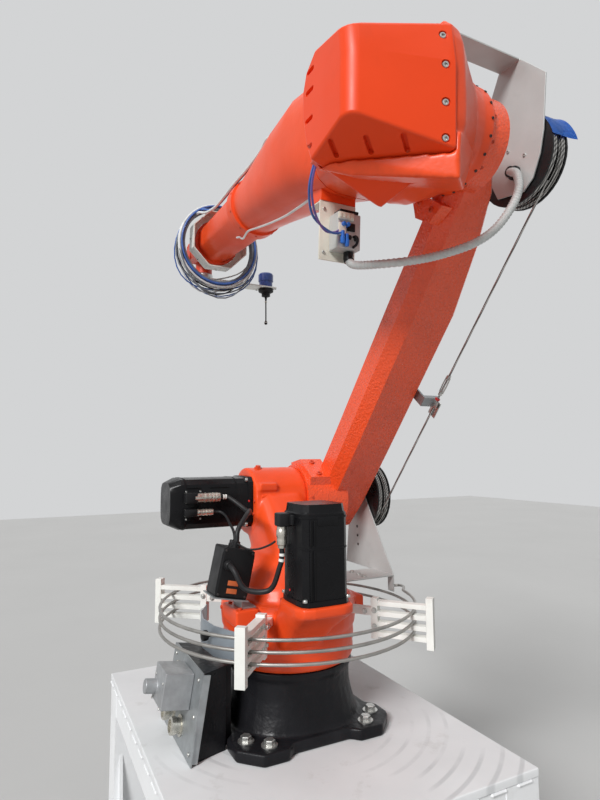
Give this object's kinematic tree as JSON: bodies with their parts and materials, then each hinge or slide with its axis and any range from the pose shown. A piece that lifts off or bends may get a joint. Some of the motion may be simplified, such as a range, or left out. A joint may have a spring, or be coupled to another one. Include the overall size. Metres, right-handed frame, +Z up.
{
  "type": "six-axis industrial robot arm on a welded steel stand",
  "caption": "Orange six-axis industrial robot arm on a white welded stand, with motors, cable combs, wire reels, elbow cover, wrist hoses and a touch probe",
  "frame": {"origin": "the centre of the bounding box, at floor level", "axes": "+Z up; +X is the way that the forearm points; +Y is the robot's left, where the motor of axis 2 is"},
  "size_m": [1.6564, 0.8274, 2.537],
  "materials": {
    "white_stand_paint": "satin white paint, a little scuffed",
    "black_casting_paint": "semi-gloss black paint on a cast surface",
    "orange_paint": "satin orange paint on a cast surface",
    "black_motor_paint": "smooth satin black paint",
    "galvanised_sheet": "dull zinc-coated sheet",
    "stainless_sheet": "brushed stainless sheet",
    "nickel_plugs": "nickel plated",
    "white_plastic": "moulded white plastic",
    "black_plastic": "moulded black plastic",
    "steel_wire": "twisted steel wire",
    "black_rubber": "matt black sheath",
    "grey_hose": "grey and blue hose",
    "pale_conduit": "corrugated pale grey plastic",
    "cream_sheet": "cream paint",
    "grey_metal": "machined aluminium",
    "probe_blue": "dark blue and black"
  },
  "bodies": {
    "base": {"stand_top": "white_stand_paint", "stand_frame": "white_stand_paint", "base_casting": "black_casting_paint", "terminal_box": "black_motor_paint", "terminal_cover": "galvanised_sheet", "connector_hood": "grey_metal"},
    "turret": {"turret_casting": "orange_paint", "a1_motor": "black_motor_paint", "a1_motor_plug": "nickel_plugs", "a1_motor_lead": "black_rubber", "a2_motor": "black_motor_paint", "a2_power_plug": "nickel_plugs", "a2_signal_plug": "nickel_plugs", "a2_motor_lead": "black_rubber", "junction_box": "black_plastic", "junction_bracket": "galvanised_sheet", "cable_comb_1": "white_plastic", "cable_comb_2": "white_plastic", "cable_comb_3": "white_plastic", "cable_comb_4": "white_plastic", "turret_cable": "steel_wire", "guide_plate": "galvanised_sheet", "lower_reel": "black_plastic", "lower_reel_bracket": "stainless_sheet"},
    "link_arm": {"link_arm": "orange_paint", "wire_rope": "steel_wire", "wire_clamp": "galvanised_sheet"},
    "forearm": {"elbow_housing": "orange_paint", "elbow_cover": "orange_paint", "forearm_casting": "orange_paint", "extension_tube": "orange_paint", "upper_reel": "black_plastic", "upper_reel_bracket": "galvanised_sheet", "valve_plate": "cream_sheet", "valve_block": "grey_metal", "air_conduit": "pale_conduit", "hose_hood": "cream_sheet", "hose_loops": "grey_hose"},
    "wrist_roll": {"wrist_housing": "orange_paint"},
    "wrist_bend": {"wrist_unit": "orange_paint"},
    "tool": {"tool_flange": "grey_metal", "probe_bracket": "white_plastic", "touch_probe": "black_plastic", "probe_head": "probe_blue"}
  },
  "joints": [
    {"name": "axis_1_turn", "type": "hinge", "parent": "base", "child": "turret", "pos_m": [-0.09, 0.02, 0.972], "axis": [0, 0, 1], "range_deg": [-260, 80]},
    {"name": "axis_2_swing", "type": "hinge", "parent": "turret", "child": "link_arm", "pos_m": [0.11, 0.02, 1.38], "axis": [0, 1, 0], "range_deg": [-10, 110]},
    {"name": "axis_3_swing", "type": "hinge", "parent": "link_arm", "child": "forearm", "pos_m": [-0.62777, 0.02, 2.24382], "axis": [0, -1, 0], "range_deg": [-24, 186], "deforming": ["air_conduit"]},
    {"name": "axis_4_roll", "type": "hinge", "parent": "forearm", "child": "wrist_roll", "pos_m": [-0.63299, 0.02, 2.31663], "axis": [0.9974, 0, 0.0715], "range_deg": [-180, 180]},
    {"name": "axis_5_bend", "type": "hinge", "parent": "wrist_roll", "child": "wrist_bend", "pos_m": [0.77739, 0.02, 2.41773], "axis": [0, 1, 0], "range_deg": [-209, 21]},
    {"name": "axis_6_turn", "type": "hinge", "parent": "wrist_bend", "child": "tool", "pos_m": [0.77739, 0.02, 2.41773], "axis": [0, 0, -1], "range_deg": [-215, 35]}
  ]
}
